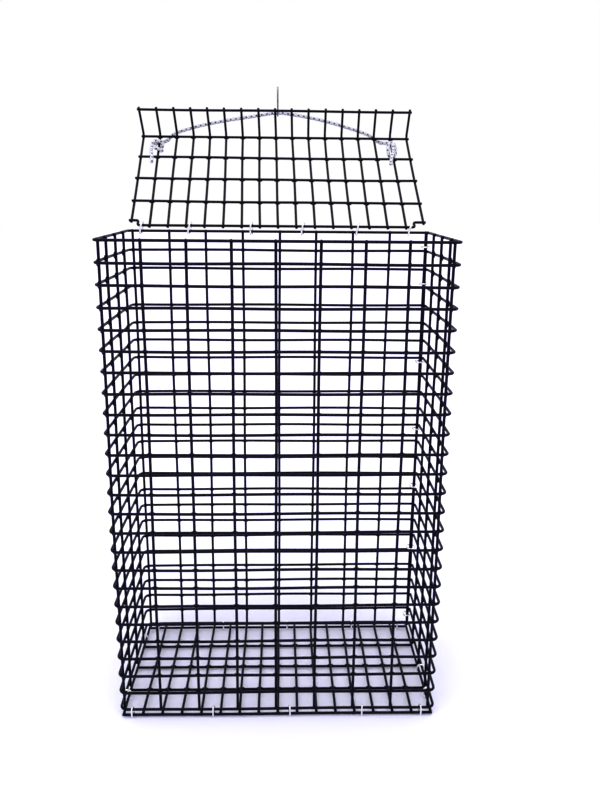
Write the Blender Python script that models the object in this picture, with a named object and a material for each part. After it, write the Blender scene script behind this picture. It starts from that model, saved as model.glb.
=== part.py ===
"""Live catch cage of coated welded wire mesh: a bent sleeve, a bottom panel and a hinged, lipped lid,
joined by hog rings, with an elastic cord and a steel hook that keep the lid shut.

Metres, +Z up. The origin is on the surface that the cage stands on, under the middle of the cage.
+X runs along the hinge, and the hinge is on the +Y side. The lid is modelled open.
In each mesh the crossing wires are drawn as flat square bars in the plane of the outer layer of wires.
"""

import bmesh
import bpy
from math import acos, cos, pi, radians, sin, sqrt
from mathutils import Matrix, Vector

# ---- driving dimensions ----
INCH = 0.0254
WIRE = 0.0035                 # coated mesh wire, across
HALF_WIRE = WIRE / 2
LAYER_STEP = 0.0031           # between the two layers of crossing wires, centre to centre
SHORT_CELL = 1.0 * INCH
LONG_CELL = 2.0 * INCH

BOX_WIDTH = 16.35 * INCH      # between the side walls' outer wires, centre to centre
BOX_DEPTH = 8.0 * INCH
SLEEVE_ROWS = 24              # short cells up each wall
SLEEVE_BAYS = 24              # long cells round the box
CORNER_RADIUS = 0.35 * INCH
SEAM_START_X = 8.027 * INCH   # first upright, on the back wall
SEAM_END_Y = 3.852 * INCH     # last upright, on the right wall

PANEL_COLUMNS = 16            # short cells across the bottom panel and the lid
PANEL_ROWS = 4                # long cells from front to back
PANEL_LIFT = 0.0022           # the rings under the bottom panel hold it this far up

LIP_PLANE = 0.20855           # from the hinge wire to the lip's plane
LIP_DROP = 0.0438             # from the lid's plane to the lip's edge wire
BEND_GAP = 0.0003             # between the lid's two lattices
LID_SHIFT = -0.0012           # how far the lid has slid along its hinge
LID_LEAN = 0.0214             # its mesh leans sideways by this share of the distance from the hinge
OPEN_ANGLE = radians(141.5)   # how far the lid stands open from shut

HINGE_LIFT = 0.0074           # hinge wire above the sleeve's top wire, centre to centre
LEFT_CRANK_X = -7.60 * INCH   # where the hinge wire steps up towards the lid
RIGHT_CRANK_X = 7.45 * INCH
CRANK_RISE = 0.0100

RING_BAR = 0.0020             # hog ring wire, across
RING_GAP = 0.0008             # between a closed ring's two ends
RING_CHAMFER = 0.0012
RING_CLEAR = 0.0006           # between a ring and the wires that it holds

CORD_DIAMETER = 0.0050
KNOT_RADIUS = 0.0075
KNOT_LENGTH = 0.0350
KNOT_MIDDLE = 0.1732          # from the hinge wire
KNOT_SHIFT = -0.0035          # across, from the wire that the knot is tied round to its middle
KNOT_BORE = 0.0029
HOOK_WIRE = 0.0025
HOOK_EYE_RADIUS = 0.0042
HOOK_SHANK = 0.0365           # from the eye's centre to the bend's centre
HOOK_BEND_RADIUS = 0.0060
HOOK_TIP = 0.0050

# ---- places that follow ----
PANEL_THICK = LAYER_STEP + WIRE
PANEL_Z = PANEL_LIFT + PANEL_THICK / 2
# the sleeve's cut wire ends stand on the panel's upper layer of wires
STUB = 0.0013
SLEEVE_Z = PANEL_LIFT + PANEL_THICK + STUB + 0.00005 + HALF_WIRE
TOP_Z = SLEEVE_Z + SLEEVE_ROWS * SHORT_CELL
HALF_WIDTH = BOX_WIDTH / 2
HALF_DEPTH = BOX_DEPTH / 2
HINGE = Vector((0.0, HALF_DEPTH, TOP_Z + HINGE_LIFT))
PANEL_HALF_X = PANEL_COLUMNS * SHORT_CELL / 2
PANEL_HALF_Y = PANEL_ROWS * LONG_CELL / 2
# the shut lid's squared points moved to its leaning mesh
LEANING = Matrix(((1, LID_LEAN, LID_LEAN, LID_SHIFT), (0, 1, 0, 0), (0, 0, 1, 0), (0, 0, 0, 1)))

# ---- colours: base colour, metallic, roughness ----
COATED_WIRE = ("coated_wire", (0.012, 0.012, 0.016, 1.0), 0.0, 0.35)
RING_METAL = ("ring_metal", (0.75, 0.75, 0.77, 1.0), 1.0, 0.25)
CORD_COVER = ("cord_cover", (0.82, 0.82, 0.85, 1.0), 0.0, 0.85)
HOOK_STEEL = ("hook_steel", (0.42, 0.43, 0.45, 1.0), 1.0, 0.35)


def clear_scene():
    for old in list(bpy.data.objects):
        bpy.data.objects.remove(old, do_unlink=True)


def material(look):
    name, colour, metallic, roughness = look
    made = bpy.data.materials.get(name)
    if made is None:
        made = bpy.data.materials.new(name)
        made.use_nodes = True
        shader = made.node_tree.nodes["Principled BSDF"]
        shader.inputs["Base Color"].default_value = colour
        shader.inputs["Metallic"].default_value = metallic
        shader.inputs["Roughness"].default_value = roughness
        made.diffuse_color = colour
    return made


def add_object(name, mesh, look, parent=None):
    made = bpy.data.objects.new(name, mesh)
    bpy.context.scene.collection.objects.link(made)
    mesh.materials.append(material(look))
    made.parent = parent
    return made


def add_pivot(name, place, turn_x, parent=None):
    pivot = bpy.data.objects.new(name, None)
    bpy.context.scene.collection.objects.link(pivot)
    pivot.empty_display_size = 0.02
    pivot.parent = parent
    pivot.location = place
    pivot.rotation_euler = (turn_x, 0.0, 0.0)
    return pivot


def mesh_from(bm, name, smooth_angle=None):
    bmesh.ops.recalc_face_normals(bm, faces=bm.faces)
    mesh = bpy.data.meshes.new(name)
    bm.to_mesh(mesh)
    bm.free()
    if smooth_angle is not None:
        mesh.shade_smooth()
        mesh.set_sharp_from_angle(angle=smooth_angle)
    return mesh


# ---- bars and lattices ----

def cross_bars(centres, low, high):
    """Bars along the strip's second direction, one at each place along its first."""
    return [(c - HALF_WIRE, c + HALF_WIRE, low, high) for c in centres]


def long_bars(centres, low, high):
    """Bars along the strip's first direction, one at each place along its second."""
    return [(low, high, c - HALF_WIRE, c + HALF_WIRE) for c in centres]


def grid_lines(values):
    return sorted({round(v, 7) for v in values})


def lattice_mesh(name, bars, place, folds=(), thick=WIRE):
    """One closed mesh of flat crossing bars. bars are rectangles (s0, s1, t0, t1) on an unrolled strip,
    and place(s, t, off) gives the point at s, t on the folded strip, moved off from its middle."""
    lines_s = grid_lines([v for b in bars for v in b[:2]] + list(folds))
    lines_t = grid_lines([v for b in bars for v in b[2:]])

    def filled(i, j):
        if not (0 <= i < len(lines_s) - 1 and 0 <= j < len(lines_t) - 1):
            return False
        s = (lines_s[i] + lines_s[i + 1]) / 2
        t = (lines_t[j] + lines_t[j + 1]) / 2
        return any(s0 < s < s1 and t0 < t < t1 for s0, s1, t0, t1 in bars)

    solid = {
        (i, j): filled(i, j)
        for i in range(-1, len(lines_s))
        for j in range(-1, len(lines_t))
    }
    bm = bmesh.new()
    corners = {}

    def corner(i, j, side):
        key = (i, j, side)
        if key not in corners:
            corners[key] = bm.verts.new(place(lines_s[i], lines_t[j], side * thick / 2))
        return corners[key]

    for (i, j), is_solid in solid.items():
        if not is_solid:
            continue
        for side in (1, -1):
            bm.faces.new([corner(i, j, side), corner(i + 1, j, side),
                          corner(i + 1, j + 1, side), corner(i, j + 1, side)])
        edges = {
            (i - 1, j): ((i, j), (i, j + 1)),
            (i + 1, j): ((i + 1, j), (i + 1, j + 1)),
            (i, j - 1): ((i, j), (i + 1, j)),
            (i, j + 1): ((i, j + 1), (i + 1, j + 1)),
        }
        for neighbour, (a, b) in edges.items():
            if not solid[neighbour]:
                bm.faces.new([corner(*a, 1), corner(*b, 1), corner(*b, -1), corner(*a, -1)])
    return mesh_from(bm, name)


# ---- sleeve ----

class StripPath:
    """The way round the box from the seam, seen from above: back, left, front and right walls."""

    def __init__(self):
        left, right = -HALF_WIDTH, HALF_WIDTH
        front, back = -HALF_DEPTH, HALF_DEPTH
        points = [(SEAM_START_X, back), (left, back), (left, front), (right, front), (right, SEAM_END_Y)]
        self.points = [Vector((x, y, 0.0)) for x, y in points]
        # a rounded corner is this much shorter than a sharp one
        self.saved = (2 - pi / 2) * CORNER_RADIUS
        self.starts = [0.0]
        for k in range(4):
            way = (self.points[k + 1] - self.points[k]).length
            ends_at_corners = 1 if k in (0, 3) else 2
            self.starts.append(self.starts[-1] + way - ends_at_corners * self.saved / 2)
        self.length = self.starts[-1]
        self.corners = self.starts[1:4]

    def wall(self, s):
        return max(k for k in range(4) if k == 0 or s >= self.starts[k])

    def normal(self, k):
        ahead = (self.points[k + 1] - self.points[k]).normalized()
        return Vector((-ahead.y, ahead.x, 0.0)) * -1

    def place(self, s, t, off):
        """The point at s round the box and t up it, moved outwards by off."""
        for k, corner_s in enumerate(self.corners):
            if abs(s - corner_s) < 1e-6:
                return self.points[k + 1] + (self.normal(k) + self.normal(k + 1)) * off + Vector((0, 0, t))
        k = self.wall(s)
        ahead = (self.points[k + 1] - self.points[k]).normalized()
        along = s - self.starts[k] + (self.saved / 2 if k else 0.0)
        return self.points[k] + ahead * along + self.normal(k) * off + Vector((0, 0, t))


def make_sleeve():
    path = StripPath()
    low, high = SLEEVE_Z - HALF_WIRE, TOP_Z + HALF_WIRE
    pitch = path.length / SLEEVE_BAYS
    uprights = [pitch * i for i in range(SLEEVE_BAYS + 1)]
    rows = [SLEEVE_Z + SHORT_CELL * j for j in range(SLEEVE_ROWS + 1)]
    bars = cross_bars(uprights, low, high)
    bars += long_bars(rows, -HALF_WIRE, path.length + HALF_WIRE)
    folds = [round(c, 7) for c in path.corners]
    path.corners = folds
    mesh = lattice_mesh("cage_sleeve", bars, path.place, folds)
    add_object("cage_sleeve", mesh, COATED_WIRE)


# ---- flat panels ----

def panel_columns():
    return [SHORT_CELL * i - PANEL_HALF_X for i in range(PANEL_COLUMNS + 1)]


def make_bottom_panel():
    rows = [LONG_CELL * j - PANEL_HALF_Y for j in range(PANEL_ROWS + 1)]
    bars = cross_bars(rows, -PANEL_HALF_X - HALF_WIRE, PANEL_HALF_X + HALF_WIRE)
    bars += long_bars(panel_columns(), -PANEL_HALF_Y - HALF_WIRE, PANEL_HALF_Y + HALF_WIRE)

    def place(s, t, off):
        return Vector((t, s, PANEL_Z + off))

    # both layers of wires in one thickness
    add_object("bottom_panel", lattice_mesh("bottom_panel", bars, place, thick=PANEL_THICK), COATED_WIRE)


def make_lid(lid_pivot):
    """The lid's mesh is one sheet bent along its front. It is drawn in two flat lattices that almost meet."""
    outer = PANEL_HALF_X + HALF_WIRE
    columns = panel_columns()
    lid_end = LIP_PLANE - HALF_WIRE - BEND_GAP
    bars = cross_bars([LONG_CELL * j for j in range(1, PANEL_ROWS + 1)], -outer, outer)
    bars += long_bars(columns[1:-1], -HALF_WIRE, lid_end)
    bars += long_bars([columns[0], columns[-1]], CRANK_RISE - HALF_WIRE, lid_end)
    # the hinge wire, its two cranks, and the raised ends that reach the outer wires
    bars += cross_bars([0.0], LEFT_CRANK_X - HALF_WIRE, RIGHT_CRANK_X + HALF_WIRE)
    bars += long_bars([LEFT_CRANK_X, RIGHT_CRANK_X], -HALF_WIRE, CRANK_RISE + HALF_WIRE)
    bars += cross_bars([CRANK_RISE], -outer, LEFT_CRANK_X + HALF_WIRE)
    bars += cross_bars([CRANK_RISE], RIGHT_CRANK_X - HALF_WIRE, outer)

    def place_on_lid(s, t, off):
        return LEANING @ Vector((t, -s, off))

    def place_on_lip(s, t, off):
        return LEANING @ Vector((t, -LIP_PLANE - off, -s))

    add_object("lid_panel", lattice_mesh("lid_panel", bars, place_on_lid), COATED_WIRE, lid_pivot)
    bars = cross_bars([LIP_DROP], -outer, outer)
    bars += long_bars(columns, -HALF_WIRE, LIP_DROP + HALF_WIRE)
    add_object("lid_lip", lattice_mesh("lid_lip", bars, place_on_lip), COATED_WIRE, lid_pivot)


# ---- bent wire pieces ----

def bent_bar_mesh(name, outline, section, smooth_angle=None):
    """A wire bent in the plane of its own x and y, mitred at each point of its outline."""
    points = [Vector(p) for p in outline]
    bm = bmesh.new()
    rings = []
    for i, point in enumerate(points):
        before = (point - points[i - 1]).normalized() if i else None
        after = (points[i + 1] - point).normalized() if i < len(points) - 1 else None
        ahead = ((before or after) + (after or before)).normalized()
        side = Vector((-ahead.y, ahead.x))
        stretch = 1.0
        if before and after:
            stretch = 1.0 / cos(acos(max(-1.0, min(1.0, before.dot(after)))) / 2)
        ring = []
        for a, b in section:
            at = point + side * (a * stretch)
            ring.append(bm.verts.new((at.x, at.y, b)))
        rings.append(ring)
    count = len(section)
    for first, second in zip(rings, rings[1:]):
        for k in range(count):
            n = (k + 1) % count
            bm.faces.new([first[k], first[n], second[n], second[k]])
    bm.faces.new(rings[0])
    bm.faces.new(list(reversed(rings[-1])))
    return mesh_from(bm, name, smooth_angle)


def square_section(half):
    return [(half, half), (-half, half), (-half, -half), (half, -half)]


def ring_outline(half_x, half_y):
    """A closed hog ring: an oblong with cut corners, open by a small gap at the middle of its +x side."""
    c = RING_CHAMFER
    return [
        (half_x, RING_GAP / 2), (half_x, half_y - c), (half_x - c, half_y), (c - half_x, half_y),
        (-half_x, half_y - c), (-half_x, c - half_y), (c - half_x, -half_y), (half_x - c, -half_y),
        (half_x, c - half_y), (half_x, -RING_GAP / 2),
    ]


def add_ring(name, place, half_x, half_y, axes, lean=0.0, turn=0.0):
    """axes gives the ring's own x and y in the room. lean tips its long y along the wires that it holds,
    and turn swings it round its own y."""
    mesh = bent_bar_mesh(name, ring_outline(half_x, half_y), square_section(RING_BAR / 2))
    ring = add_object(name, mesh, RING_METAL)
    x_axis, y_axis = (Vector(a) for a in axes)
    z_axis = x_axis.cross(y_axis)
    basis = Matrix((x_axis, y_axis, z_axis)).transposed()
    own = Matrix.Rotation(radians(lean), 3, "X") @ Matrix.Rotation(radians(turn), 3, "Y")
    ring.location = place
    ring.rotation_euler = (basis @ own).to_euler()
    return ring


UPRIGHT_ON_X = ((0, 1, 0), (0, 0, 1))      # round wires that run along X
UPRIGHT_ON_Y = ((1, 0, 0), (0, 0, 1))      # round wires that run along Y
LEVEL_ON_Z = ((1, 0, 0), (0, 1, 0))        # round wires that stand upright


def make_hinge_rings():
    # place along the hinge, lean and turn of each ring
    rings = [(-7.44, 13, -14), (-4.84, 15, -18), (-1.50, 4, -20), (1.30, 10, -20), (4.29, 14, -15), (7.14, 16, -12)]
    spare = HALF_WIRE + RING_CLEAR + RING_BAR / 2
    # the hinge wire turns, so its ring also clears the flat bar's corners
    half_x = spare + 0.0010
    half_y = HINGE_LIFT / 2 + spare + 0.0010
    middle_z = TOP_Z + HINGE_LIFT / 2
    for i, (x, lean, turn) in enumerate(rings, 1):
        place = Vector((x * INCH, HALF_DEPTH, middle_z))
        add_ring(f"hinge_ring_{i}", place, half_x, half_y, UPRIGHT_ON_X, lean, turn)


def bottom_ring_size(half_spread):
    """Half sizes and middle height of a ring round the sleeve's and the bottom panel's lowest wires."""
    top = SLEEVE_Z + HALF_WIRE + RING_CLEAR + RING_BAR / 2
    base = RING_BAR / 2
    half_x = half_spread + HALF_WIRE + RING_CLEAR + RING_BAR / 2
    return half_x, (top - base) / 2, (top + base) / 2


def make_bottom_rings():
    front = [-7.55, -3.35, 0.60, 4.40, 7.45]
    back = [-7.45, -3.45, 0.55, 4.55, 7.45]
    half_x, half_y, middle_z = bottom_ring_size(0.0003)
    for name, side, places in (("front", -1, front), ("back", 1, back)):
        for i, x in enumerate(places, 1):
            place = Vector((x * INCH, side * HALF_DEPTH, middle_z))
            add_ring(f"{name}_ring_{i}", place, half_x, half_y, UPRIGHT_ON_X)
    # at the sides the panel's outer wire lies a little inside the sleeve's
    spread = (HALF_WIDTH - PANEL_HALF_X) / 2
    half_x, half_y, middle_z = bottom_ring_size(spread)
    for name, side, places in (("left", -1, [2.55, -2.60]), ("right", 1, [-0.60, -2.60])):
        for i, y in enumerate(places, 1):
            place = Vector((side * (PANEL_HALF_X + spread), y * INCH, middle_z))
            add_ring(f"{name}_ring_{i}", place, half_x, half_y, UPRIGHT_ON_Y)


def make_seam_rings():
    spare = HALF_WIRE + RING_CLEAR + RING_BAR / 2
    low_x, high_x = SEAM_START_X, HALF_WIDTH
    low_y, high_y = SEAM_END_Y, HALF_DEPTH
    half_x = (high_x - low_x) / 2 + spare
    half_y = (high_y - low_y) / 2 + spare
    for i, row in enumerate([23.25, 21.25, 16.80, 12.80, 9.25, 5.25, 0.70], 1):
        place = Vector(((low_x + high_x) / 2, (low_y + high_y) / 2, SLEEVE_Z + row * SHORT_CELL))
        add_ring(f"seam_ring_{i}", place, half_x, half_y, LEVEL_ON_Z)


# ---- elastic latch ----

# the cord from its left knot over the lid's bend, along the lip and back, in inches in the shut lid's
# frame: across, past the lip's plane, and above the lid's plane
CORD_ROUTE = [
    (-6.61, -0.150, 0.330),
    (-6.42, 0.060, 0.250),
    (-6.18, 0.200, 0.090),
    (-5.80, 0.238, -0.060),
    (-5.20, 0.238, -0.270),
    (-4.50, 0.238, -0.490),
    (-3.60, 0.238, -0.710),
    (-2.60, 0.240, -0.920),
    (-1.60, 0.242, -1.100),
    (-0.80, 0.262, -1.235),
    (-0.25, 0.292, -1.320),
    (0.16, 0.300, -1.350),
    (0.60, 0.292, -1.330),
    (1.20, 0.255, -1.260),
    (2.00, 0.240, -1.120),
    (2.80, 0.238, -0.930),
    (3.60, 0.238, -0.700),
    (4.40, 0.238, -0.440),
    (5.10, 0.238, -0.190),
    (5.60, 0.225, 0.010),
    (5.95, 0.150, 0.180),
    (6.20, -0.040, 0.290),
    (6.41, -0.300, 0.244),
]
HOOK_PLACE = (0.16, 0.300, -1.350)
CORD_SPACING = 0.0110


def by_the_lip(across, past_lip, above_lid):
    """A point given in inches from the middle of the lid's bend, in the shut lid's frame."""
    return LEANING @ Vector((across * INCH, -LIP_PLANE - past_lip * INCH, above_lid * INCH))


def smooth_points(points, spacing):
    """Points at about one spacing along the smooth curve through the given points."""
    ends = [points[0] * 2 - points[1]] + list(points) + [points[-1] * 2 - points[-2]]
    fine = []
    steps = 12
    for a, b, c, d in zip(ends, ends[1:], ends[2:], ends[3:]):
        for k in range(steps):
            u = k / steps
            fine.append(((b * 2) + (c - a) * u + (a * 2 - b * 5 + c * 4 - d) * u**2
                         + (b * 3 - a - c * 3 + d) * u**3) / 2)
    fine.append(points[-1].copy())
    total = sum((q - p).length for p, q in zip(fine, fine[1:]))
    count = max(2, round(total / spacing))
    kept, gone, wanted = [fine[0]], 0.0, total / count
    for p, q in zip(fine, fine[1:]):
        step = (q - p).length
        while step > 0 and gone + step >= wanted * len(kept) and len(kept) < count:
            kept.append(p.lerp(q, (wanted * len(kept) - gone) / step))
        gone += step
    return kept + [fine[-1]]


def make_cord(lid_pivot):
    curve = bpy.data.curves.new("bungee_cord", "CURVE")
    curve.dimensions = "3D"
    curve.bevel_depth = CORD_DIAMETER / 2
    curve.bevel_resolution = 2
    curve.use_fill_caps = True
    points = smooth_points([by_the_lip(*spot) for spot in CORD_ROUTE], CORD_SPACING)
    spline = curve.splines.new("POLY")
    spline.points.add(len(points) - 1)
    for slot, point in zip(spline.points, points):
        slot.co = (*point, 1.0)
    add_object("bungee_cord", curve, CORD_COVER, lid_pivot)


def make_knots(lid_pivot):
    """Each knot is a thick collar round the lid's wire, with room for the wire through it."""
    sides = 14
    for name, wire_x in (("bungee_knot_left", -7 * INCH), ("bungee_knot_right", 7 * INCH)):
        bm = bmesh.new()
        rings = []
        for radius, centre_x, y in (
            (KNOT_BORE, wire_x, -1), (KNOT_RADIUS, wire_x + KNOT_SHIFT, -1),
            (KNOT_RADIUS, wire_x + KNOT_SHIFT, 1), (KNOT_BORE, wire_x, 1),
        ):
            ring = []
            for k in range(sides):
                turn = 2 * pi * k / sides
                spot = Vector((centre_x + radius * cos(turn), y * KNOT_LENGTH / 2 - KNOT_MIDDLE,
                               radius * sin(turn)))
                ring.append(bm.verts.new(LEANING @ spot))
            rings.append(ring)
        for first, second in zip(rings, rings[1:] + rings[:1]):
            for k in range(sides):
                n = (k + 1) % sides
                bm.faces.new([first[k], first[n], second[n], second[k]])
        add_object(name, mesh_from(bm, name, radians(40)), CORD_COVER, lid_pivot)


def hook_outline():
    """The hook in its own plane, eye at the origin, x out from the lip and y towards the lid's bend."""
    eye, bend = HOOK_EYE_RADIUS, HOOK_BEND_RADIUS
    eye_end, eye_steps, bend_steps = radians(70), 12, 8
    outline = []
    for k in range(eye_steps + 1):
        # from just inside the shank, backwards round the eye to where the shank leaves it
        turn = -eye_end - (2 * pi - eye_end) * k / eye_steps
        outline.append((eye * cos(turn), eye * sin(turn)))
    for k in range(bend_steps + 1):
        turn = -pi * k / bend_steps
        outline.append((eye - bend + bend * cos(turn), -HOOK_SHANK + bend * sin(turn)))
    outline.append((eye - 2 * bend, HOOK_TIP - HOOK_SHANK))
    return outline


def make_hook(hook_pivot):
    half = HOOK_WIRE / 2
    section = [(half * cos(pi * k / 3), half * sin(pi * k / 3)) for k in range(6)]
    mesh = bent_bar_mesh("latch_hook", hook_outline(), section, radians(50))
    # the outline's x goes out from the lip (-Y of the shut lid) and its y up towards the lid (+Z)
    mesh.transform(Matrix(((0, 0, -1, 0), (-1, 0, 0, 0), (0, 1, 0, 0), (0, 0, 0, 1))))
    add_object("latch_hook", mesh, HOOK_STEEL, hook_pivot)


def main():
    clear_scene()
    make_sleeve()
    make_bottom_panel()
    make_hinge_rings()
    make_seam_rings()
    make_bottom_rings()
    lid_pivot = add_pivot("lid_pivot", HINGE, -OPEN_ANGLE)
    make_lid(lid_pivot)
    make_knots(lid_pivot)
    make_cord(lid_pivot)
    make_hook(add_pivot("hook_pivot", by_the_lip(*HOOK_PLACE), 0.0, lid_pivot))


main()
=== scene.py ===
from math import copysign, cos, pi, radians, sin

import bpy
import numpy as np
from mathutils import Matrix, Vector


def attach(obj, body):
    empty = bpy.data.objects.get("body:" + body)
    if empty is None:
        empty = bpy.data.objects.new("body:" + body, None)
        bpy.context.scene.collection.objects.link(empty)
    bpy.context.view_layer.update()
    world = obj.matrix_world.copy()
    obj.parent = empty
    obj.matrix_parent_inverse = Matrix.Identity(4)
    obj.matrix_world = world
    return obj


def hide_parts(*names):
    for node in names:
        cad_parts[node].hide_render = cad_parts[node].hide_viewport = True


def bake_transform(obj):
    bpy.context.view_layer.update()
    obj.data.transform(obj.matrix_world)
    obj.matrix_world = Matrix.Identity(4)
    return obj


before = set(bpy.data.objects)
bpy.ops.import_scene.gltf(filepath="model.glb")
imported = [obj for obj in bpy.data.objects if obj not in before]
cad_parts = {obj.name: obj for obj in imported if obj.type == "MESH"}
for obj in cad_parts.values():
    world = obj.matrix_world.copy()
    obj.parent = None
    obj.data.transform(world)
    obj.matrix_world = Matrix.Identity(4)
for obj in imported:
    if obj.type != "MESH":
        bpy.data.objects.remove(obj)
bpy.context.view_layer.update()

# ---- sizes, metres ----

INCH = 0.0254
SHORT_CELL = 1.0 * INCH
LONG_CELL = 2.0 * INCH
WIRE_RADIUS = 0.0018
WIRE_SIDES = 12
LAYER_STEP = 0.0031           # between the middles of the two layers of crossing wires

WANDER = 0.0004               # how far a wire strays from straight
PANEL_WANDER = 0.0003         # the same in the bottom panel
SLEEVE_SWAY = 0.0007          # how far the sleeve's walls bow in and out
SWAY_MARGIN = 0.10            # over which the bowing grows from the top and bottom rows
LID_SWAY = 0.0008             # how far the lid bows
CUT_SPREAD = 0.0003           # how much the lengths of the cut ends differ

# how far the cut ends stand past the surface of the last wire that they cross
SLEEVE_ROW_STUB = 0.0006
SLEEVE_FOOT_STUB = 0.0013
PANEL_STUB = 0.0008
LID_EDGE_STUB = 0.0005
LID_ROW_STUB = 0.0011
# and how far past its middle, where they end within its coating
SLEEVE_TOP_REACH = WIRE_RADIUS * 0.6
LID_HINGE_REACH = 0.0006

BOX_HALF_X = 16.35 * INCH / 2
BOX_HALF_Y = 8.0 * INCH / 2
CORNER_RADIUS = 0.35 * INCH
CORNER_STEPS = 6
SLEEVE_ROWS = 24              # cells up
SLEEVE_COLUMNS = 24           # cells round
SLEEVE_LOW = 0.0119           # its bottom wire
SLEEVE_HIGH = SLEEVE_LOW + SLEEVE_ROWS * SHORT_CELL
SEAM_START_X = 8.027 * INCH   # the first upright, on the back wall
SEAM_END_Y = 3.852 * INCH     # the last upright, on the right wall

PANEL_LOW_Z = 0.00395         # its lower wires
PANEL_HALF_X = 8.0 * INCH
PANEL_HALF_Y = 4.0 * INCH
MESH_COLUMNS = [SHORT_CELL * (i - 8) for i in range(17)]      # in the panel and in the lid

HINGE_RISE = 0.0074           # from the sleeve's top wire up to the hinge wire
HINGE = Vector((0.0, BOX_HALF_Y, SLEEVE_HIGH + HINGE_RISE))
OPEN_ANGLE = radians(141.5)
LID_LEAN = 0.0214             # sideways, for each metre along the lid
LID_SLIDE = -0.0012           # along the hinge
LIP_PLANE = 0.20855           # from the hinge
BEND_ROW = 8.0 * INCH
BEND_DROP = 0.0038            # the bend turns about a line this far below the cross wires
BEND_ARC = (BEND_DROP + LAYER_STEP) * pi / 2
LEFT_CRANK_X = -7.60 * INCH
RIGHT_CRANK_X = 7.45 * INCH
CRANK_RISE = 0.0100
CRANK_EASE = 0.0022           # the length that each bend of a crank takes
LID_REACH = PANEL_HALF_X + WIRE_RADIUS + LID_ROW_STUB

# points along each wire
CROSS_WIRE_POINTS = 35
PANEL_COLUMN_POINTS = 19
LID_COLUMN_POINTS = 26        # from the hinge to the bend
BEND_STEPS = 8
LIP_POINTS = 8
HINGE_WIRE_POINTS = 30        # between the cranks
CURVE_STEPS = 16              # between two given points of a smooth route

# the lid's own frame, shut: x along the hinge, y to the back, z up; turned open about the hinge
LID_TURN = Matrix.Translation(HINGE) @ Matrix.Rotation(-OPEN_ANGLE, 4, "X")
# the lid has slid a little along its hinge, and its mesh leans sideways
LEANING = Matrix(((1, LID_LEAN, LID_LEAN, LID_SLIDE), (0, 1, 0, 0), (0, 0, 1, 0), (0, 0, 0, 1)))
LID_FRAME = LID_TURN @ LEANING


def noise(*keys):
    """A repeatable value from -1 to 1 for these numbers."""
    value = sin(sum(k * f for k, f in zip(keys, (12.9898, 78.233, 37.719, 4.581)))) * 43758.5453
    return 2 * (value - np.floor(value)) - 1


# ---- camera ----

CAMERA_PLACE = (0.0022, -0.9525, 0.6763)
CAMERA_PAN = -1.56            # degrees
CAMERA_DOWN = 14.67
CAMERA_ROLL = 0.51
CAMERA_LENS = 33.61           # millimetres
CAMERA_SENSOR = 36.0
CAMERA_SHIFT_Y = -0.0169


def make_camera():
    data = bpy.data.cameras.new("Camera")
    camera = bpy.data.objects.new("Camera", data)
    bpy.context.scene.collection.objects.link(camera)
    bpy.context.scene.camera = camera
    data.sensor_width = CAMERA_SENSOR
    data.lens = CAMERA_LENS
    data.shift_y = CAMERA_SHIFT_Y
    data.clip_start = 0.05
    data.clip_end = 50.0
    camera.matrix_world = (
        Matrix.Translation(CAMERA_PLACE)
        @ Matrix.Rotation(radians(CAMERA_PAN), 4, "Z")
        @ Matrix.Rotation(radians(90 - CAMERA_DOWN), 4, "X")
        @ Matrix.Rotation(radians(CAMERA_ROLL), 4, "Z")
    )


make_camera()
bpy.context.scene.view_settings.view_transform = "Standard"
bpy.context.scene.view_settings.gamma = 0.75


# ---- meshes ----

OFF_AXIS = (0.31, 0.52, 0.79)     # a direction that no wire starts in
END_BEVEL = 0.35                  # length of a cut end's bevel, as a share of the wire's radius
END_RADIUS = 0.66                 # and the radius of the flat left at the end

# a weld's pad, from the middle of a crossing: along the wires, between them, and through the sheet
WELD_REACH = 0.0048
WELD_WIDTH = 0.0027
WELD_THICK = 0.0017
# the same at a sheet's edges, where the wires are cut
EDGE_REACH = 0.0024
EDGE_WIDTH = 0.0022
PAD_STEPS = 16
PAD_HOLLOW = 1.6                  # how sharply the pad's sides curve in between its arms
PAD_RIM = (1.0, 0.0)              # as shares of its reach and of its thickness
PAD_CROWN = [(0.80, 0.62), (0.45, 0.95)]      # on each side of the sheet
SHARP_ANGLE = radians(50)


def lengths_along(points):
    """How far along the route each of its points is."""
    return np.r_[0, np.cumsum(np.linalg.norm(np.diff(points, axis=0), axis=1))]


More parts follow.
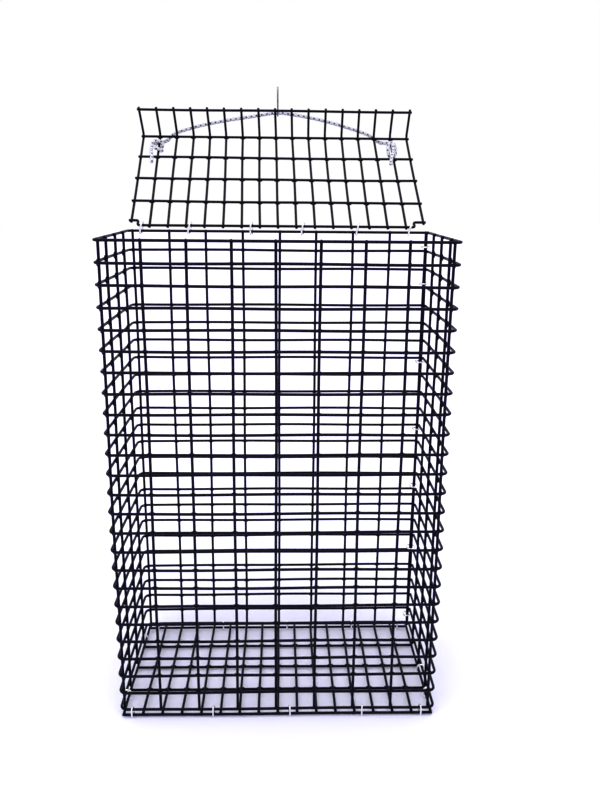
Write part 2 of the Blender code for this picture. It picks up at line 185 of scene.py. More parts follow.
class Build:
    """Collects vertices, faces and, for each vertex, a way along and round its wire."""

    def __init__(self):
        self.verts = []
        self.faces = []
        self.ways = []

    def tube(self, points, radius, sides=WIRE_SIDES, rounded=True):
        points = np.asarray(points, float)
        radii = np.full(len(points), radius)
        if rounded:
            points, radii = self.round_ends(points, radius)
        count = len(points)
        ahead = np.gradient(points, axis=0)
        ahead /= np.linalg.norm(ahead, axis=1)[:, None]
        side = np.cross(ahead[0], OFF_AXIS)
        side /= np.linalg.norm(side)
        gone = lengths_along(points)
        base = len(self.verts)
        for k in range(count):
            side = side - ahead[k] * np.dot(side, ahead[k])
            side /= np.linalg.norm(side)
            other = np.cross(ahead[k], side)
            for j in range(sides):
                turn = 2 * pi * j / sides
                out = side * cos(turn) + other * sin(turn)
                self.verts.append(points[k] + out * radii[k])
                self.ways.append((gone[k], turn / (2 * pi)))
        for k in range(count - 1):
            here, there = base + k * sides, base + (k + 1) * sides
            for j in range(sides):
                m = (j + 1) % sides
                self.faces.append((here + j, there + j, there + m, here + m))
        self.faces.append(tuple(base + j for j in range(sides)))
        self.faces.append(tuple(base + (count - 1) * sides + j for j in reversed(range(sides))))

    @staticmethod
    def round_ends(points, radius):
        """The same route, and its radii, with its cut ends eased over a short bevel."""
        bevel = radius * END_BEVEL
        first = (points[1] - points[0]) / np.linalg.norm(points[1] - points[0])
        last = (points[-2] - points[-1]) / np.linalg.norm(points[-2] - points[-1])
        route = np.vstack([points[0], points[0] + first * bevel, points[1:-1],
                           points[-1] + last * bevel, points[-1]])
        radii = np.full(len(route), radius)
        radii[0] = radii[-1] = radius * END_RADIUS
        return route, radii

    def weld(self, place, along, across, out, at_edge):
        """The coating that pools round a crossing: a four-armed pad with hollow sides."""
        reach, width = (EDGE_REACH, EDGE_WIDTH) if at_edge else (WELD_REACH, WELD_WIDTH)
        place, along, across, out = (np.asarray(v, float) for v in (place, along, across, out))
        base = len(self.verts)
        rim = []
        for k in range(PAD_STEPS):
            turn = 2 * pi * k / PAD_STEPS
            # far along the wires and near between them
            spread = abs(cos(2 * turn)) ** PAD_HOLLOW
            rim.append((turn, width + (reach - width) * spread))
        levels = [PAD_RIM, *PAD_CROWN, *((share, -rise) for share, rise in PAD_CROWN)]
        for share, rise in levels:
            for turn, radius in rim:
                spot = place + (along * cos(turn) + across * sin(turn)) * radius * share
                self.verts.append(spot + out * WELD_THICK * rise)
                self.ways.append((radius * share, turn))
        # the levels from the lowest to the highest
        order = [4, 3, 0, 1, 2]
        for a, b in zip(order, order[1:]):
            lower, upper = base + a * PAD_STEPS, base + b * PAD_STEPS
            for k in range(PAD_STEPS):
                n = (k + 1) % PAD_STEPS
                self.faces.append((lower + k, lower + n, upper + n, upper + k))
        top, bottom = base + order[-1] * PAD_STEPS, base + order[0] * PAD_STEPS
        self.faces.append(tuple(top + k for k in range(PAD_STEPS)))
        self.faces.append(tuple(bottom + k for k in reversed(range(PAD_STEPS))))

    def make(self, name, material, turn=None):
        mesh = bpy.data.meshes.new(name)
        mesh.from_pydata(np.array(self.verts).tolist(), [], self.faces)
        ways = mesh.attributes.new("way", "FLOAT2", "POINT")
        ways.data.foreach_set("vector", np.array(self.ways, dtype=np.float32).ravel())
        mesh.shade_smooth()
        mesh.set_sharp_from_angle(angle=SHARP_ANGLE)
        mesh.materials.append(material)
        if turn is not None:
            mesh.transform(turn)
        mesh.update()
        made = bpy.data.objects.new(name, mesh)
        bpy.context.scene.collection.objects.link(made)
        return made


def smooth_route(points, spacing):
    """Points about one spacing apart on the smooth curve through the given points."""
    points = np.asarray(points, float)
    ends = np.vstack([2 * points[0] - points[1], points, 2 * points[-1] - points[-2]])
    fine = []
    for a, b, c, d in zip(ends, ends[1:], ends[2:], ends[3:]):
        for u in np.linspace(0, 1, CURVE_STEPS, endpoint=False):
            fine.append((2 * b + (c - a) * u + (2 * a - 5 * b + 4 * c - d) * u**2
                         + (3 * b - a - 3 * c + d) * u**3) / 2)
    fine.append(points[-1])
    fine = np.array(fine)
    gone = lengths_along(fine)
    wanted = np.linspace(0, gone[-1], max(2, int(round(gone[-1] / spacing)) + 1))
    return np.column_stack([np.interp(wanted, gone, fine[:, k]) for k in range(3)])


# ---- materials ----

def shader_nodes(name, colour, metallic, roughness):
    material = bpy.data.materials.new(name)
    material.use_nodes = True
    tree = material.node_tree
    shader = tree.nodes["Principled BSDF"]
    shader.inputs["Base Color"].default_value = (*colour, 1.0)
    shader.inputs["Metallic"].default_value = metallic
    shader.inputs["Roughness"].default_value = roughness
    return material, tree, shader


def add_noise(tree, scale, detail=4.0, stretch=None):
    """A noise texture's value, from 0 to 1 and mostly near the middle."""
    coord = tree.nodes.new("ShaderNodeTexCoord")
    texture = tree.nodes.new("ShaderNodeTexNoise")
    texture.inputs["Scale"].default_value = scale
    texture.inputs["Detail"].default_value = detail
    source = coord.outputs["Object"]
    if stretch:
        mapping = tree.nodes.new("ShaderNodeMapping")
        mapping.inputs["Scale"].default_value = stretch
        tree.links.new(source, mapping.inputs["Vector"])
        source = mapping.outputs["Vector"]
    tree.links.new(source, texture.inputs["Vector"])
    return texture.outputs["Fac"]


def add_range(tree, source, low, high):
    """Spread the middle of a noise's values from low to high."""
    spread = tree.nodes.new("ShaderNodeMapRange")
    spread.inputs["From Min"].default_value = 0.3
    spread.inputs["From Max"].default_value = 0.7
    spread.inputs["To Min"].default_value = low
    spread.inputs["To Max"].default_value = high
    tree.links.new(source, spread.inputs["Value"])
    return spread.outputs["Result"]


def add_bump(tree, shader, source, strength, distance):
    bump = tree.nodes.new("ShaderNodeBump")
    bump.inputs["Strength"].default_value = strength
    bump.inputs["Distance"].default_value = distance
    tree.links.new(source, bump.inputs["Height"])
    tree.links.new(bump.outputs["Normal"], shader.inputs["Normal"])


def mix_colours(tree, factor, low, high):
    """From low to high. low is a colour or another node's output, and high is a colour."""
    mix = tree.nodes.new("ShaderNodeMix")
    mix.data_type = "RGBA"
    if isinstance(low, tuple):
        mix.inputs["A"].default_value = (*low, 1.0)
    else:
        tree.links.new(low, mix.inputs["A"])
    mix.inputs["B"].default_value = (*high, 1.0)
    tree.links.new(factor, mix.inputs["Factor"])
    return mix.outputs["Result"]


def vary(tree, shader, source, roughness, colours):
    """Let the roughness and the colour follow a noise, each from its first value to its second."""
    tree.links.new(add_range(tree, source, *roughness), shader.inputs["Roughness"])
    tree.links.new(mix_colours(tree, source, *colours), shader.inputs["Base Color"])


def coated_wire_material():
    """Black dipped PVC: semi-gloss, slightly lumpy, with dull patches where it was handled."""
    material, tree, shader = shader_nodes("coated_wire", (0.002, 0.002, 0.004), 0.0, 0.35)
    shader.inputs["Specular IOR Level"].default_value = 0.14
    shader.inputs["Specular Tint"].default_value = (0.80, 0.76, 1.0, 1.0)
    colours = (0.0010, 0.0007, 0.0045), (0.0052, 0.0040, 0.0140)
    vary(tree, shader, add_noise(tree, 55.0), (0.24, 0.42), colours)
    lumps = add_noise(tree, 420.0, detail=2.0)
    add_bump(tree, shader, lumps, strength=0.25, distance=0.0006)
    return material


def ring_material():
    """Bright zinc with a little dulling and fine scuffs."""
    material, tree, shader = shader_nodes("ring_metal", (0.80, 0.80, 0.83), 1.0, 0.24)
    colours = (0.80, 0.80, 0.83), (0.97, 0.97, 0.98)
    vary(tree, shader, add_noise(tree, 260.0), (0.16, 0.38), colours)
    scuffs = add_noise(tree, 1500.0, detail=2.0)
    add_bump(tree, shader, scuffs, strength=0.12, distance=0.0002)
    return material


def hook_material():
    """Drawn steel wire, grey, with marks along it."""
    material, tree, shader = shader_nodes("hook_steel", (0.30, 0.30, 0.33), 1.0, 0.34)
    marks = add_noise(tree, 300.0, stretch=(1.0, 1.0, 0.15))
    vary(tree, shader, marks, (0.24, 0.48), ((0.20, 0.20, 0.23), (0.42, 0.42, 0.46)))
    add_bump(tree, shader, marks, strength=0.15, distance=0.0002)
    return material


CORD_STRANDS = 8              # each way round the braided cover
CORD_PITCH = 0.0160           # along the cord for one turn of a strand
YARN_COUNT = 2.0              # dark yarns each way round
YARN_HALF_WIDTH = 0.10        # as a share of the way from one to the next
YARN_SHIFT = 0.25             # of those that go the other way round, the same
FLECK_PITCH = 0.0040          # along the cord from one pair of flecks to the next
FLECK_LEVEL = -0.30           # a yarn shows where a sine wave of that pitch is above this


def cord_material():
    """A white braided cover. Dark yarns go both ways round it and show as pairs of flecks."""
    material, tree, shader = shader_nodes("cord_cover", (0.80, 0.80, 0.84), 0.0, 0.75)
    way = tree.nodes.new("ShaderNodeAttribute")
    way.attribute_name = "way"
    split = tree.nodes.new("ShaderNodeSeparateXYZ")
    tree.links.new(way.outputs["Vector"], split.inputs["Vector"])
    along, round_it = split.outputs["X"], split.outputs["Y"]

    def calc(kind, *values):
        node = tree.nodes.new("ShaderNodeMath")
        node.operation = kind
        for slot, value in zip(node.inputs, values):
            if isinstance(value, (int, float)):
                slot.default_value = value
            else:
                tree.links.new(value, slot)
        return node.outputs["Value"]

    turns = calc("DIVIDE", along, CORD_PITCH)

    def strand(direction, number):
        phase = calc("MULTIPLY_ADD", turns, direction, round_it)
        return calc("MULTIPLY", phase, number)

    def ridge(phase):
        wave = calc("SINE", calc("MULTIPLY", phase, 2 * pi))
        return calc("MULTIPLY_ADD", wave, 0.5, 0.5)

    def yarn(direction, shift):
        phase = calc("FRACT", calc("ADD", strand(direction, YARN_COUNT), shift))
        off = calc("ABSOLUTE", calc("SUBTRACT", phase, 0.5))
        return calc("LESS_THAN", off, YARN_HALF_WIDTH)

    weave = calc("MAXIMUM", ridge(strand(1.0, CORD_STRANDS)), ridge(strand(-1.0, CORD_STRANDS)))
    dark = calc("MAXIMUM", yarn(1.0, 0.0), yarn(-1.0, YARN_SHIFT))
    beat = calc("SINE", calc("MULTIPLY", calc("DIVIDE", along, FLECK_PITCH), 2 * pi))
    flecks = calc("MULTIPLY", dark, calc("GREATER_THAN", beat, FLECK_LEVEL))
    fuzz = add_noise(tree, 900.0, detail=3.0)
    soil = mix_colours(tree, fuzz, (0.57, 0.57, 0.65), (0.75, 0.75, 0.81))
    shade = mix_colours(tree, flecks, soil, (0.03, 0.03, 0.08))
    tree.links.new(shade, shader.inputs["Base Color"])
    height = calc("MULTIPLY_ADD", fuzz, 0.4, weave)
    add_bump(tree, shader, height, strength=0.7, distance=0.0004)
    return material


WIRE = coated_wire_material()
RING = ring_material()
CORD = cord_material()
HOOK = hook_material()


# ---- sleeve ----

def box_route():
    """The way round the box from the sheet's first upright to its last, in the outer wires' plane.
    It gives how far along each point is, the points from above, and their outward normals."""
    bx, by, radius = BOX_HALF_X, BOX_HALF_Y, CORNER_RADIUS
    # the walls in turn: both ends and the outward normal
    walls = [
        ((SEAM_START_X, by), (radius - bx, by), (0, 1)),
        ((-bx, by - radius), (-bx, radius - by), (-1, 0)),
        ((radius - bx, -by), (bx - radius, -by), (0, -1)),
        ((bx, radius - by), (bx, SEAM_END_Y), (1, 0)),
    ]
    # the centres of the corners between them
    centres = [(radius - bx, by - radius), (radius - bx, radius - by), (bx - radius, radius - by)]
    spots = []
    for number, (first, last, normal) in enumerate(walls):
        if number:
            for k in range(1, CORNER_STEPS):
                turn = number * pi / 2 + (pi / 2) * k / CORNER_STEPS
                way = Vector((cos(turn), sin(turn)))
                spots.append((Vector(centres[number - 1]) + way * radius, way))
        first, last = Vector(first), Vector(last)
        count = max(2, int(round((last - first).length / (LONG_CELL / 4))))
        spots += [(first.lerp(last, k / count), Vector(normal)) for k in range(count + 1)]
    points = np.array([tuple(p) for p, _ in spots])
    normals = np.array([tuple(n) for _, n in spots])
    return lengths_along(points), points, normals


def on_route(route, s):
    gone, points, normals = route
    place = np.array([np.interp(s, gone, points[:, k]) for k in range(2)])
    normal = np.array([np.interp(s, gone, normals[:, k]) for k in range(2)])
    return place, normal / np.linalg.norm(normal)


def sway(s, z):
    """A slow in-and-out wave of the sheet, nothing at its bottom and top rows."""
    held = min(1.0, (z - SLEEVE_LOW) / SWAY_MARGIN, max(0.0, SLEEVE_HIGH - z) / SWAY_MARGIN)
    return SLEEVE_SWAY * held * (sin(s * 11.0 + 0.4) + 0.6 * sin(z * 17.0 + s * 5.0))


def row_dip(s, row):
    """A level wire's slight wander up and down. The top one is straight, for the lid to fold back
    over."""
    return WANDER * sin(s * 23.0 + row * 1.7) if row < SLEEVE_ROWS else 0.0


def by_upright(foot, normal, column, z, shift):
    """A point at this height by an upright, shifted out from the outer wires' plane."""
    (x, y), (nx, ny) = foot, normal
    lean = WANDER * sin(z * 14.0 + column * 2.1) * min(1.0, z / SWAY_MARGIN)
    return x + nx * shift - ny * lean, y + ny * shift + nx * lean, z


def make_sleeve():
    build = Build()
    route = box_route()
    length = route[0][-1]
    past_end = WIRE_RADIUS + SLEEVE_ROW_STUB
    rows = [SLEEVE_LOW + row * SHORT_CELL for row in range(SLEEVE_ROWS + 1)]
    for row, z in enumerate(rows):
        points = []
        for s, (x, y), (nx, ny) in zip(*route):
            shift = sway(s, z)
            points.append((x + nx * shift, y + ny * shift, z + row_dip(s, row)))
        points = np.array(points)
        points[0] += (past_end, 0, 0)
        points[-1] += (0, past_end, 0)
        build.tube(points, WIRE_RADIUS)
    low = SLEEVE_LOW - WIRE_RADIUS - SLEEVE_FOOT_STUB
    high = SLEEVE_HIGH + SLEEVE_TOP_REACH
    steps = SLEEVE_ROWS * 2
    between = [SLEEVE_LOW + (SLEEVE_HIGH - SLEEVE_LOW) * k / steps for k in range(1, steps)]
    for column in range(SLEEVE_COLUMNS + 1):
        s = length * column / SLEEVE_COLUMNS
        foot, normal = on_route(route, s)
        points = []
        for z in [low, *between, high + CUT_SPREAD * noise(column, 5)]:
            shift = sway(s, max(z, SLEEVE_LOW)) - LAYER_STEP
            points.append(by_upright(foot, normal, column, z, shift))
        build.tube(points, WIRE_RADIUS)
        nx, ny = normal
        for row, z in enumerate(rows):
            shift = sway(s, z) - LAYER_STEP / 2
            spot = by_upright(foot, normal, column, z + row_dip(s, row), shift)
            at_edge = row in (0, SLEEVE_ROWS) or column in (0, SLEEVE_COLUMNS)
            build.weld(spot, (-ny, nx, 0), (0, 0, 1), (nx, ny, 0), at_edge)
    sleeve = build.make("sleeve_mesh", WIRE)
    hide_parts("cage_sleeve")
    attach(sleeve, "cage")


# ---- bottom panel ----

def make_bottom_panel():
    build = Build()
    over = WIRE_RADIUS + PANEL_STUB
    upper = PANEL_LOW_Z + LAYER_STEP
    columns = MESH_COLUMNS
    rows = [LONG_CELL * (j - 2) for j in range(5)]
    for i, x in enumerate(columns):
        ys = np.linspace(-PANEL_HALF_Y - over, PANEL_HALF_Y + over, PANEL_COLUMN_POINTS)
        build.tube([(x + PANEL_WANDER * sin(y * 30 + i), y, upper) for y in ys], WIRE_RADIUS)
    for j, y in enumerate(rows):
        xs = np.linspace(-PANEL_HALF_X - over, PANEL_HALF_X + over, CROSS_WIRE_POINTS)
        build.tube([(x, y + PANEL_WANDER * sin(x * 25 + j), PANEL_LOW_Z) for x in xs], WIRE_RADIUS)
    for x in columns:
        for y in rows:
            at_edge = x in (columns[0], columns[-1]) or y in (rows[0], rows[-1])
            spot = (x, y, PANEL_LOW_Z + LAYER_STEP / 2)
            build.weld(spot, (1, 0, 0), (0, 1, 0), (0, 0, 1), at_edge)
    panel = build.make("panel_mesh", WIRE)
    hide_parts("bottom_panel")
    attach(panel, "cage")


# ---- lid ----

def lid_wave(x, s):
    """How far the lid's sheet bows from flat. It is straight at the hinge and at the bend."""
    return LID_SWAY * sin(x * 9.0 + 1.0) * sin(pi * s / BEND_ROW)


def lid_spot(x, s, lift):
    """A point on the shut lid's sheet, its way out of the sheet and its way along. s goes from the
    hinge along a lengthwise wire, over the bend and down the lip. lift is above the cross wires'
    plane."""
    if s <= BEND_ROW:
        place = (x, -s, lift + lid_wave(x, s))
        return np.array(place), np.array((0, 0, 1.0)), np.array((0, -1.0, 0))
    if s >= BEND_ROW + BEND_ARC:
        place = (x, -(BEND_ROW + BEND_DROP + lift), -BEND_DROP - (s - BEND_ROW - BEND_ARC))
        return np.array(place), np.array((0, -1.0, 0)), np.array((0, 0, -1.0))
    turn = (s - BEND_ROW) / (BEND_DROP + LAYER_STEP)
    out = np.array((0, -sin(turn), cos(turn)))
    down = np.array((0, -cos(turn), -sin(turn)))
    return np.array((x, -BEND_ROW, -BEND_DROP)) + out * (BEND_DROP + lift), out, down


def crank(x, side):
    """The hinge wire's route from beside a crank, up it and out to the wire's raised end."""
    near, far = CRANK_EASE * 0.3, CRANK_EASE
    return [(x - side * far, 0.0), (x - side * near, near), (x, far),
            (x, CRANK_RISE - far), (x + side * near, CRANK_RISE - near),
            (x + side * far, CRANK_RISE), (side * LID_REACH, CRANK_RISE)]


def make_lid():
    build = Build()
    columns = MESH_COLUMNS
    ends = (columns[0], columns[-1])
    edge_s = BEND_ROW + LONG_CELL
    over = WIRE_RADIUS + LID_EDGE_STUB
    for i, x in enumerate(columns):
        start = (CRANK_RISE if x in ends else 0.0) - LID_HINGE_REACH
        stop = edge_s + over + CUT_SPREAD * noise(i, 2)
        bend = [BEND_ROW + BEND_ARC * k / BEND_STEPS for k in range(1, BEND_STEPS)]
        ss = [*np.linspace(start, BEND_ROW, LID_COLUMN_POINTS), *bend,
              *np.linspace(BEND_ROW + BEND_ARC, stop, LIP_POINTS)]
        points = [lid_spot(x + WANDER * sin(s * 20 + i * 1.3), s, LAYER_STEP)[0] for s in ss]
        build.tube(points, WIRE_RADIUS)
    for j, s in enumerate([LONG_CELL, 2 * LONG_CELL, 3 * LONG_CELL, BEND_ROW, edge_s]):
        xs = np.linspace(-LID_REACH, LID_REACH, CROSS_WIRE_POINTS)
        sags = [WANDER * sin(x * 22 + j * 1.9) if s != BEND_ROW else 0.0 for x in xs]
        build.tube([lid_spot(x, s + sag, 0.0)[0] for x, sag in zip(xs, sags)], WIRE_RADIUS)
        for x in columns:
            spot, out, down = lid_spot(x, s, LAYER_STEP / 2)
            build.weld(spot, (1, 0, 0), down, out, s == edge_s or x in ends)
    # the hinge wire, with a crank at each end up to the raised ends
    first, last = LEFT_CRANK_X + 2 * CRANK_EASE, RIGHT_CRANK_X - 2 * CRANK_EASE
    inner = np.linspace(first, last, HINGE_WIRE_POINTS)
    route = crank(LEFT_CRANK_X, -1)[::-1] + [(x, 0.0) for x in inner] + crank(RIGHT_CRANK_X, 1)
    build.tube([(x, -s, 0.0) for x, s in route], WIRE_RADIUS)
    for x in columns:
        spot = (x, -CRANK_RISE if x in ends else 0.0, LAYER_STEP / 2)
        build.weld(spot, (1, 0, 0), (0, 1, 0), (0, 0, 1), True)
    lid = build.make("lid_mesh", WIRE, LID_FRAME)
    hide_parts("lid_panel", "lid_lip")
    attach(lid, "lid")


# ---- hog rings ----

RING_RADIUS = 0.0011
HINGE_RING_RADIUS = 0.0013
RING_SIDES = 14
RING_POINTS = 40
RING_ROUNDNESS = 0.72         # 1 is an ellipse, and less gives flatter sides
RING_SKEW = 0.0004            # between a ring's two ends, along the wires
RING_GAP = 0.0010             # and round the ring

# half sizes of the rings, to the middle of their wire
HINGE_RING_HALF_Y = 0.0041
HINGE_RING_HALF_Z = 0.0078
FRONT_RING_HALF_Y = 0.0034
SIDE_RING_HALF_X = 0.0030     # and half the gap between the panel and the sleeve
SEAM_RING_MARGIN = 0.0031     # and half the way from the first upright to the last
BOTTOM_RING_MARGIN = 0.0006   # between a ring and the sleeve's bottom wire

# the two directions that a ring lies in
ACROSS_Y = ((0, 1, 0), (0, 0, 1))
ACROSS_X = ((1, 0, 0), (0, 0, 1))
LEVEL = ((1, 0, 0), (0, 1, 0))

# inches along the wire, with degrees of lean and turn for the hinge and of turn for the others
HINGE_RINGS = [(-7.44, 13, -14), (-4.84, 15, -18), (-1.50, 4, -20),
               (1.30, 10, -20), (4.29, 14, -15), (7.14, 16, -12)]
FRONT_RINGS = [(-7.55, -14), (-3.35, -12), (0.60, 11), (4.40, -10), (7.45, 13)]
BACK_RINGS = [(-7.45, 5), (-3.45, 9), (0.55, -7), (4.55, 6), (7.45, -5)]
LEFT_RINGS = [2.55, -2.60]
RIGHT_RINGS = [-0.60, -2.60]
SIDE_RING_TURN = 6
SEAM_RING_ROWS = [23.25, 21.25, 16.80, 12.80, 9.25, 5.25, 0.70]
SEAM_RING_TURN = 7


def ring_route(half_x, half_y):
    """A closed hog ring seen along its wires: an oval with flattish sides. Its ends are a little
    short of meeting at the middle of its +x side."""
    points = []
    for k in range(RING_POINTS + 1):
        share = k / RING_POINTS
        across, up = cos(2 * pi * share), sin(2 * pi * share)
        x = half_x * copysign(abs(across) ** RING_ROUNDNESS, across)
        y = half_y * copysign(abs(up) ** RING_ROUNDNESS, up)
        points.append((x, y, RING_SKEW * (share - 0.5)))
    for k, y in ((0, RING_GAP / 2), (-1, -RING_GAP / 2)):
        points[k] = (points[k][0], y, points[k][2])
    return points


def add_ring(node, place, half_x, half_y, axes, lean=0.0, turn=0.0, radius=RING_RADIUS):
    build = Build()
    build.tube(ring_route(half_x, half_y), radius, sides=RING_SIDES)
    x_axis, y_axis = (Vector(a) for a in axes)
    basis = Matrix((x_axis, y_axis, x_axis.cross(y_axis))).transposed()
    own = Matrix.Rotation(radians(lean), 3, "X") @ Matrix.Rotation(radians(turn), 3, "Y")
    turned = Matrix.Translation(place) @ (basis @ own).to_4x4()
    ring = build.make(node + "_wire", RING, turned)
    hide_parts(node)
    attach(ring, "cage")


def make_hinge_rings():
    for i, (x, lean, turn) in enumerate(HINGE_RINGS, 1):
        place = Vector((x * INCH, BOX_HALF_Y, SLEEVE_HIGH + HINGE_RISE / 2))
        add_ring(f"hinge_ring_{i}", place, HINGE_RING_HALF_Y, HINGE_RING_HALF_Z, ACROSS_Y,
                 lean, turn, HINGE_RING_RADIUS)


def make_bottom_rings():
    low = RING_RADIUS
    high = SLEEVE_LOW + WIRE_RADIUS + BOTTOM_RING_MARGIN + RING_RADIUS
    middle, half_z = (low + high) / 2, (high - low) / 2
    for name, side, places in (("front", -1, FRONT_RINGS), ("back", 1, BACK_RINGS)):
        for i, (x, turn) in enumerate(places, 1):
            place = Vector((x * INCH, side * BOX_HALF_Y, middle))
            add_ring(f"{name}_ring_{i}", place, FRONT_RING_HALF_Y, half_z, ACROSS_Y, turn=turn)
    spread = (BOX_HALF_X - PANEL_HALF_X) / 2
    half_x = SIDE_RING_HALF_X + spread
    for name, side, places in (("left", -1, LEFT_RINGS), ("right", 1, RIGHT_RINGS)):
        for i, y in enumerate(places, 1):
            place = Vector((side * (PANEL_HALF_X + spread), y * INCH, middle))
            add_ring(f"{name}_ring_{i}", place, half_x, half_z, ACROSS_X,
                     turn=SIDE_RING_TURN * side)


def make_seam_rings():
    middle_x = (BOX_HALF_X + SEAM_START_X) / 2 - LAYER_STEP / 2
    middle_y = (BOX_HALF_Y + SEAM_END_Y) / 2 - LAYER_STEP / 2
    half = (BOX_HALF_X - SEAM_START_X) / 2 + LAYER_STEP / 2 + SEAM_RING_MARGIN
    for i, row in enumerate(SEAM_RING_ROWS, 1):
        place = Vector((middle_x, middle_y, SLEEVE_LOW + row * INCH))
        add_ring(f"seam_ring_{i}", place, half, half, LEVEL,
                 SEAM_RING_TURN * noise(i, 1), SEAM_RING_TURN * noise(i, 3))


# ---- elastic latch ----

CORD_RADIUS = 0.0025
CORD_SIDES = 20
CORD_SPACING = 0.0022         # between the rounds of the cord's mesh
KNOT_SPACING = 0.0016
CORD_MIDDLE = (0.16, 0.300, -1.350)     # where the hook hangs


def by_the_lip(across, past_lip, above_lid):
    """A point given in inches from the middle of the lid's bend, in the shut lid's frame."""
    return (across * INCH, -LIP_PLANE - past_lip * INCH, above_lid * INCH)


CORD_ROUTE = [
    (-6.61, -0.150, 0.330),
    (-6.42, 0.060, 0.250),
    (-6.18, 0.200, 0.090),
    (-5.80, 0.238, -0.060),
    (-5.20, 0.238, -0.270),
    (-4.50, 0.238, -0.490),
    (-3.60, 0.238, -0.710),
    (-2.60, 0.240, -0.920),
    (-1.60, 0.242, -1.100),
    (-0.80, 0.262, -1.235),
    (-0.25, 0.292, -1.320),
    CORD_MIDDLE,
    (0.60, 0.292, -1.330),
    (1.20, 0.255, -1.260),
    (2.00, 0.240, -1.120),
    (2.80, 0.238, -0.930),
    (3.60, 0.238, -0.700),
    (4.40, 0.238, -0.440),
    (5.10, 0.238, -0.190),
    (5.60, 0.225, 0.010),
    (5.95, 0.150, 0.180),
    (6.20, -0.040, 0.290),
    (6.41, -0.300, 0.244),
]


def make_cord():
    build = Build()
    route = smooth_route([by_the_lip(*spot) for spot in CORD_ROUTE], CORD_SPACING)
    build.tube(route, CORD_RADIUS, sides=CORD_SIDES, rounded=False)
    cord = build.make("bungee_mesh", CORD, LID_FRAME)
    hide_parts("bungee_cord")
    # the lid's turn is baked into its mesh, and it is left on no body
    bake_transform(cord)


# each knot's cord in millimetres: across from the lid's wire that it is tied round, from the bend
# towards the hinge, and above the cross wires' plane, which is away from the cage's inside
LEFT_KNOT = [
    (10.0, -1.5, 8.4), (4.0, 2.5, 8.3), (-1.5, 6.5, 7.8), (-5.0, 11.0, 5.0), (-5.6, 17.0, 2.2),
    (-5.4, 23.0, 1.2), (-5.2, 28.0, 0.4), (-3.6, 32.0, -1.4), (0.5, 33.5, -2.0), (4.3, 32.0, 1.2),
    (4.0, 28.5, 5.6), (0.8, 24.5, 8.0), (1.2, 20.5, 7.8), (4.4, 17.5, 4.6), (4.2, 15.5, 0.6),
    (0.5, 14.5, -2.0), (-4.5, 15.5, -3.2), (-9.0, 18.5, -2.6), (-10.6, 24.0, -1.0),
    (-10.6, 31.0, -0.6), (-10.2, 38.0, -1.6), (-9.2, 45.0, -3.8), (-8.0, 51.0, -5.0),
    (-7.2, 58.0, -4.8), (-7.0, 64.0, -4.2), (-6.6, 69.5, -3.6),
]
RIGHT_KNOT = [
    (-15.0, 2.3, 6.2), (-10.0, 6.2, 3.6), (-5.0, 10.0, 0.2), (0.0, 13.0, -2.0), (4.4, 16.5, 0.2),
    (5.2, 22.0, 2.6), (4.8, 28.0, 3.6), (3.4, 33.0, 6.6), (0.0, 36.5, 8.0), (-4.4, 37.0, 6.4),
    (-6.8, 34.0, 2.6), (-7.0, 28.0, -1.2), (-6.4, 22.0, -3.4), (-3.4, 18.6, -5.0),
    (0.0, 20.5, -5.4), (0.4, 27.0, -3.4), (0.2, 33.0, -2.6), (-0.8, 40.0, -3.0),
    (-2.4, 46.0, -4.6), (-4.2, 52.0, -5.0), (-5.8, 59.0, -4.6), (-7.4, 69.0, -3.8),
]
KNOTS = [("bungee_knot_left", -7, LEFT_KNOT), ("bungee_knot_right", 7, RIGHT_KNOT)]


def make_knots():
    for node, wire_x, route in KNOTS:
        spots = [(wire_x * INCH + a / 1000, d / 1000 - BEND_ROW, h / 1000) for a, d, h in route]
        build = Build()
        build.tube(smooth_route(spots, KNOT_SPACING), CORD_RADIUS, sides=CORD_SIDES)
        knot = build.make(node + "_cord", CORD, LID_FRAME)
        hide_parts(node)
        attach(knot, "lid")


HOOK_PLACE = LEANING @ Vector(by_the_lip(*CORD_MIDDLE))
HOOK_WIRE_RADIUS = 0.00125
HOOK_SIDES = 16
HOOK_EYE = 0.0042             # radius of the eye round the cord, to the wire's middle
EYE_OPENING = radians(66)     # left between the eye's end and the shank
EYE_OFFSET = 0.00077          # of the eye's end from the hook's plane
EYE_STEPS = 30
EYE_SETTLES = 12              # steps until the eye is in that plane
HOOK_BEND = 0.0060            # radius of the hook itself
HOOK_BEND_STEPS = 16
HOOK_SHANK = 0.0365
SHANK_STEPS = 9
HOOK_TIP = 0.0050             # its straight end


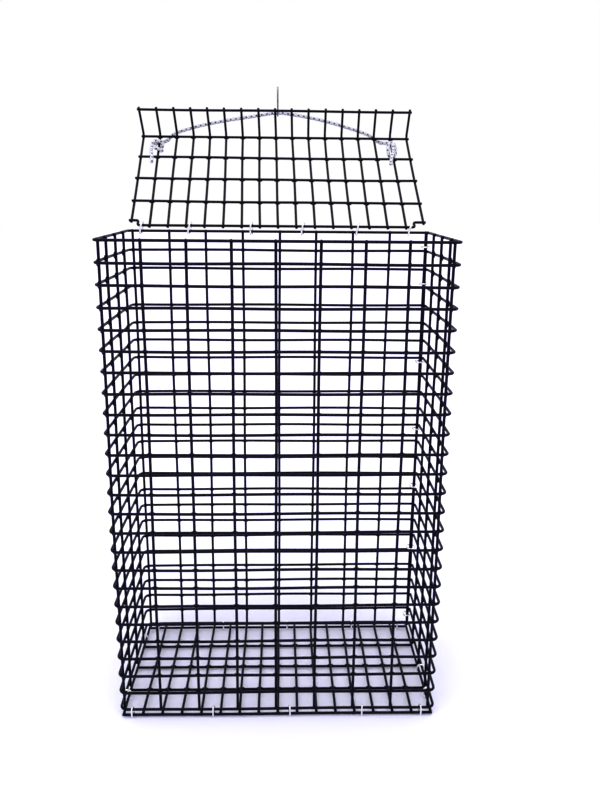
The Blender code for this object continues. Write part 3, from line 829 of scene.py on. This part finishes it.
def make_hook():
    outline = []
    for k in range(EYE_STEPS + 1):
        turn = -EYE_OPENING - (2 * pi - EYE_OPENING) * k / EYE_STEPS
        aside = EYE_OFFSET * max(0.0, 1 - k / EYE_SETTLES)
        outline.append((aside, -HOOK_EYE * cos(turn), HOOK_EYE * sin(turn)))
    for k in range(1, SHANK_STEPS):
        outline.append((0.0, -HOOK_EYE, -HOOK_SHANK * k / SHANK_STEPS))
    for k in range(HOOK_BEND_STEPS + 1):
        turn = -pi * k / HOOK_BEND_STEPS
        outline.append((0.0, HOOK_BEND - HOOK_EYE - HOOK_BEND * cos(turn),
                        HOOK_BEND * sin(turn) - HOOK_SHANK))
    outline.append((0.0, 2 * HOOK_BEND - HOOK_EYE, HOOK_TIP - HOOK_SHANK))
    build = Build()
    build.tube(outline, HOOK_WIRE_RADIUS, sides=HOOK_SIDES)
    hook = build.make("hook_wire", HOOK, LID_TURN @ Matrix.Translation(HOOK_PLACE))
    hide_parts("latch_hook")
    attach(hook, "hook")


# ---- surroundings ----

FLOOR_HALF = 12.0
FLOOR_COLOUR = (0.82, 0.81, 0.995)
LIGHT_TARGET = (0, 0, 0.2)
LIGHT_SIZE = 1.6


def make_floor():
    mesh = bpy.data.meshes.new("floor")
    corners = [(-1, -1), (1, -1), (1, 1), (-1, 1)]
    mesh.from_pydata([(x * FLOOR_HALF, y * FLOOR_HALF, 0) for x, y in corners], [], [(0, 1, 2, 3)])
    material, _, shader = shader_nodes("floor_paint", FLOOR_COLOUR, 0.0, 0.9)
    shader.inputs["Specular IOR Level"].default_value = 0.2
    mesh.materials.append(material)
    floor = bpy.data.objects.new("floor", mesh)
    bpy.context.scene.collection.objects.link(floor)


def add_area(name, place, power):
    """A soft square light that faces the object."""
    data = bpy.data.lights.new(name, "AREA")
    data.shape = "RECTANGLE"
    data.size = data.size_y = LIGHT_SIZE
    data.energy = power
    light = bpy.data.objects.new(name, data)
    light.location = place
    aim = Vector(LIGHT_TARGET) - Vector(place)
    light.rotation_euler = aim.to_track_quat("-Z", "Y").to_euler()
    bpy.context.scene.collection.objects.link(light)


def add_overhead():
    """A wide soft light from above, even over the whole floor."""
    data = bpy.data.lights.new("overhead", "SUN")
    data.energy = 1.55
    data.angle = radians(70)
    light = bpy.data.objects.new("overhead", data)
    light.rotation_euler = (radians(14), radians(-6), 0.0)
    bpy.context.scene.collection.objects.link(light)


def make_world():
    world = bpy.data.worlds.new("World")
    world.use_nodes = True
    background = world.node_tree.nodes["Background"]
    background.inputs["Color"].default_value = (1.0, 1.0, 1.0, 1.0)
    background.inputs["Strength"].default_value = 1.0
    bpy.context.scene.world = world


make_floor()
make_world()
add_overhead()
add_area("key", (-0.9, -1.2, 2.6), 6)
add_area("fill", (1.6, -1.0, 2.2), 3)
make_sleeve()
make_bottom_panel()
make_lid()
make_hinge_rings()
make_bottom_rings()
make_seam_rings()
make_cord()
make_knots()
make_hook()
